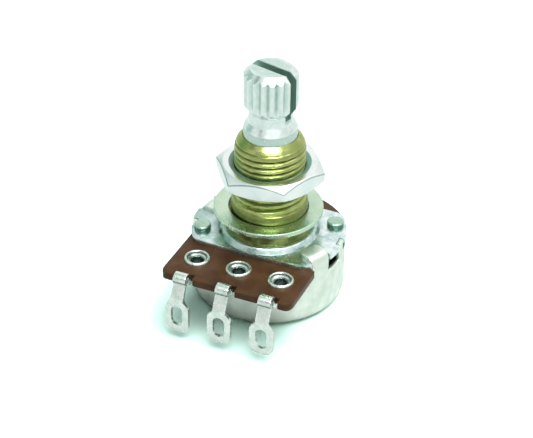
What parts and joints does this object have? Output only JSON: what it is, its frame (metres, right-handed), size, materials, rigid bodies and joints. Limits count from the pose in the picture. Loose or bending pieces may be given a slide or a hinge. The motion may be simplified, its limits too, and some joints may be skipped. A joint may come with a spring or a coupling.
{
  "type": "rotary potentiometer",
  "caption": "Panel-mount rotary potentiometer with a round steel can, a brown terminal wafer with solder lugs, a threaded brass bushing with nut and washer, and a splined split shaft.",
  "frame": {"origin": "centre of the can's flat back face", "axes": "+Z along the shaft from the back face to the slotted tip, -Y towards the terminals, X along the row of terminals"},
  "size_m": [0.0174, 0.0225, 0.0281],
  "materials": {
    "can_steel": "smooth tin plating",
    "plate_steel": "bright zinc plating with a blue cast",
    "phenolic": "satin paper laminate",
    "carbon": "matt printed carbon",
    "silver_print": "matt printed silver",
    "tinned_brass": "bright tin plating",
    "brass": "turned, bright",
    "washer_steel": "bright nickel plating",
    "nut_plate": "bright nickel plating",
    "shaft_metal": "turned and splined, bright",
    "ring_steel": "spring steel",
    "rotor_plastic": "moulded",
    "spring_bronze": "stamped phosphor bronze"
  },
  "bodies": {
    "housing": {"rear_can": "can_steel", "wafer": "phenolic", "carbon_track": "carbon", "collector_ring": "silver_print", "front_plate": "plate_steel", "plate_rivet_left": "tinned_brass", "plate_rivet_right": "tinned_brass", "eyelet_left": "tinned_brass", "eyelet_center": "tinned_brass", "eyelet_right": "tinned_brass", "lug_left": "tinned_brass", "lug_center": "tinned_brass", "lug_right": "tinned_brass", "bushing": "brass", "flat_washer": "washer_steel"},
    "nut": {"hex_nut": "nut_plate"},
    "rotor": {"shaft": "shaft_metal", "retaining_ring": "ring_steel", "wiper_carrier": "rotor_plastic", "wiper_spring": "spring_bronze"}
  },
  "joints": [
    {"name": "shaft_turn", "type": "hinge", "parent": "housing", "child": "rotor", "pos_m": [0, 0, 0.02], "axis": [0, 0, 1], "range_deg": [-150, 150]},
    {"name": "nut_travel", "type": "slide", "parent": "housing", "child": "nut", "axis": [0, 0, 1], "range_m": [-0.0023, 0.0045]}
  ]
}
